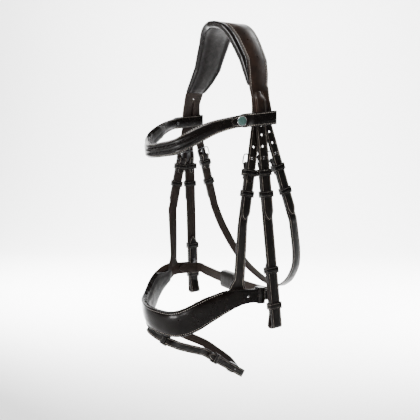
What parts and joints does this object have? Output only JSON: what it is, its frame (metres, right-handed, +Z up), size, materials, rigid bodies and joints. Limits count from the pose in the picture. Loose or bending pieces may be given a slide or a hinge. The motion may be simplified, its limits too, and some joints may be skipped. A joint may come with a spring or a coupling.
{
  "type": "anatomic bridle",
  "caption": "Leather bridle with a padded crown, shaped browband on snap tabs, wide padded noseband with chin and flash straps, cheekpieces folded for a bit, and a throatlatch.",
  "frame": {"origin": "underside of the crown's padding at its middle, where the bridle rests on the poll", "axes": "+X to the horse's left, the side the picture shows, +Y towards its tail and +Z up"},
  "size_m": [0.2572, 0.2295, 0.5528],
  "materials": {
    "strap_leather": "smooth satin, edges creased and dyed",
    "crown_leather": "smooth satin with brown highlights",
    "soft_lining": "soft matt padded lining",
    "buckle_steel": "polished stainless steel",
    "enamelled_cap": "enamel in a bright metal rim"
  },
  "bodies": {
    "headpiece": {"crown_leather": "crown_leather", "crown_padding": "soft_lining", "browband_leather": "strap_leather", "browband_padding": "soft_lining", "snap_stud_left": "buckle_steel", "snap_stud_right": "buckle_steel"},
    "tab_left": {"browband_tab_left": "strap_leather", "snap_cap_left": "enamelled_cap"},
    "tab_right": {"browband_tab_right": "strap_leather", "snap_cap_right": "enamelled_cap"},
    "noseband": {"noseband_leather": "strap_leather", "noseband_padding": "soft_lining", "chin_strap": "strap_leather", "chin_buckle": "buckle_steel", "chin_keeper": "strap_leather", "billet_front_left": "strap_leather", "hanger_left": "strap_leather", "buckle_front_left": "buckle_steel", "keeper_front_upper_left": "strap_leather", "billet_front_right": "strap_leather", "hanger_right": "strap_leather", "buckle_front_right": "buckle_steel", "keeper_front_upper_right": "strap_leather"},
    "cheek_left": {"billet_cheek_left": "strap_leather", "cheekpiece_left": "strap_leather", "buckle_cheek_left": "buckle_steel", "hook_stud_left": "buckle_steel", "keeper_cheek_upper_left": "strap_leather"},
    "cheek_right": {"billet_cheek_right": "strap_leather", "cheekpiece_right": "strap_leather", "buckle_cheek_right": "buckle_steel", "hook_stud_right": "buckle_steel", "keeper_cheek_upper_right": "strap_leather"},
    "throatlatch": {"throatlatch": "strap_leather", "billet_throat_left": "strap_leather", "buckle_throat_left": "buckle_steel", "keeper_throat_upper_left": "strap_leather", "billet_throat_right": "strap_leather", "buckle_throat_right": "buckle_steel", "keeper_throat_upper_right": "strap_leather"},
    "flash": {"flash_loop": "strap_leather", "flash_strap": "strap_leather", "flash_buckle": "buckle_steel"},
    "tongue_front_left": {"tongue_front_left": "buckle_steel"},
    "runner_front_left": {"keeper_front_lower_left": "strap_leather"},
    "tongue_front_right": {"tongue_front_right": "buckle_steel"},
    "runner_front_right": {"keeper_front_lower_right": "strap_leather"},
    "tongue_cheek_left": {"tongue_cheek_left": "buckle_steel"},
    "runner_cheek_left": {"keeper_cheek_lower_left": "strap_leather"},
    "tongue_cheek_right": {"tongue_cheek_right": "buckle_steel"},
    "runner_cheek_right": {"keeper_cheek_lower_right": "strap_leather"},
    "tongue_throat_left": {"tongue_throat_left": "buckle_steel"},
    "runner_throat_left": {"keeper_throat_lower_left": "strap_leather"},
    "tongue_throat_right": {"tongue_throat_right": "buckle_steel"},
    "runner_throat_right": {"keeper_throat_lower_right": "strap_leather"},
    "runner_bit_left": {"keeper_bit_left": "strap_leather"},
    "runner_bit_right": {"keeper_bit_right": "strap_leather"},
    "chin_tongue": {"chin_tongue": "buckle_steel"},
    "flash_tongue": {"flash_tongue": "buckle_steel"},
    "chin_pad": {"chin_pad": "soft_lining"}
  },
  "joints": [
    {"name": "tab_open_left", "type": "hinge", "parent": "headpiece", "child": "tab_left", "pos_m": [0.1131, 0.0137, -0.13023], "axis": [0, -0.1093, 0.994], "range_deg": [0, 70]},
    {"name": "tab_open_right", "type": "hinge", "parent": "headpiece", "child": "tab_right", "pos_m": [-0.1131, 0.0137, -0.13023], "axis": [0, 0.1093, -0.994], "range_deg": [0, 70]},
    {"name": "noseband_swing", "type": "hinge", "parent": "headpiece", "child": "noseband", "pos_m": [0, -0.0105, -0.1425], "axis": [-1, 0, 0], "range_deg": [0, 10]},
    {"name": "cheek_swing_left", "type": "hinge", "parent": "headpiece", "child": "cheek_left", "pos_m": [0.1098, -0.0051, -0.14238], "axis": [0.0057, -0.9975, -0.0707], "range_deg": [0, 30]},
    {"name": "cheek_swing_right", "type": "hinge", "parent": "headpiece", "child": "cheek_right", "pos_m": [-0.1098, -0.0051, -0.14238], "axis": [0.0057, 0.9975, 0.0707], "range_deg": [0, 30]},
    {"name": "throatlatch_swing", "type": "hinge", "parent": "headpiece", "child": "throatlatch", "pos_m": [0, 0.0087, -0.1425], "axis": [1, 0, 0], "range_deg": [0, 25]},
    {"name": "flash_swing", "type": "hinge", "parent": "noseband", "child": "flash", "pos_m": [0, -0.11542, -0.44148], "axis": [1, 0, 0], "range_deg": [-30, 0]},
    {"name": "tongue_front_left_turn", "type": "hinge", "parent": "noseband", "child": "tongue_front_left", "pos_m": [0.10132, -0.01938, -0.19544], "axis": [0.01, 0.9861, -0.166], "range_deg": [0, 3]},
    {"name": "runner_front_left_slide", "type": "slide", "parent": "noseband", "child": "runner_front_left", "axis": [0.0591, -0.1663, -0.9843], "range_m": [-0.01, 0.01]},
    {"name": "tongue_front_right_turn", "type": "hinge", "parent": "noseband", "child": "tongue_front_right", "pos_m": [-0.10132, -0.01938, -0.19544], "axis": [0.01, -0.9861, 0.166], "range_deg": [0, 3]},
    {"name": "runner_front_right_slide", "type": "slide", "parent": "noseband", "child": "runner_front_right", "axis": [-0.0591, -0.1663, -0.9843], "range_m": [-0.01, 0.01]},
    {"name": "tongue_cheek_left_turn", "type": "hinge", "parent": "cheek_left", "child": "tongue_cheek_left", "pos_m": [0.10612, -0.0014, -0.19491], "axis": [-0.0057, 0.9975, 0.0707], "range_deg": [0, 3]},
    {"name": "runner_cheek_left_slide", "type": "slide", "parent": "cheek_left", "child": "runner_cheek_left", "axis": [0.0795, 0.0709, -0.9943], "range_m": [-0.01, 0.01]},
    {"name": "tongue_cheek_right_turn", "type": "hinge", "parent": "cheek_right", "child": "tongue_cheek_right", "pos_m": [-0.10612, -0.0014, -0.19491], "axis": [-0.0057, -0.9975, -0.0707], "range_deg": [0, 3]},
    {"name": "runner_cheek_right_slide", "type": "slide", "parent": "cheek_right", "child": "runner_cheek_right", "axis": [-0.0795, 0.0709, -0.9943], "range_m": [-0.01, 0.01]},
    {"name": "tongue_throat_left_turn", "type": "hinge", "parent": "throatlatch", "child": "tongue_throat_left", "pos_m": [0.10229, 0.02268, -0.1888], "axis": [-0.0261, 0.9566, 0.2901], "range_deg": [0, 3]},
    {"name": "runner_throat_left_slide", "type": "slide", "parent": "throatlatch", "child": "runner_throat_left", "axis": [0.0857, 0.2913, -0.9528], "range_m": [-0.01, 0.01]},
    {"name": "tongue_throat_right_turn", "type": "hinge", "parent": "throatlatch", "child": "tongue_throat_right", "pos_m": [-0.10229, 0.02268, -0.1888], "axis": [-0.0261, -0.9566, -0.2901], "range_deg": [0, 3]},
    {"name": "runner_throat_right_slide", "type": "slide", "parent": "throatlatch", "child": "runner_throat_right", "axis": [-0.0857, 0.2913, -0.9528], "range_m": [-0.01, 0.01]},
    {"name": "runner_bit_left_slide", "type": "slide", "parent": "cheek_left", "child": "runner_bit_left", "axis": [0.0795, 0.0709, -0.9943], "range_m": [-0.01, 0.01]},
    {"name": "runner_bit_right_slide", "type": "slide", "parent": "cheek_right", "child": "runner_bit_right", "axis": [-0.0795, 0.0709, -0.9943], "range_m": [-0.01, 0.01]},
    {"name": "chin_tongue_turn", "type": "hinge", "parent": "noseband", "child": "chin_tongue", "pos_m": [0.10428, -0.0129, -0.37651], "axis": [0.0015, 0.0299, 0.9996], "range_deg": [0, 3]},
    {"name": "flash_tongue_turn", "type": "hinge", "parent": "flash", "child": "flash_tongue", "pos_m": [-0.00431, 0.01452, -0.51745], "axis": [0.0047, -0.5509, -0.8345], "range_deg": [0, 3]},
    {"name": "chin_pad_slide", "type": "slide", "parent": "noseband", "child": "chin_pad", "axis": [1, 0, 0], "range_m": [-0.008, 0.008]}
  ]
}
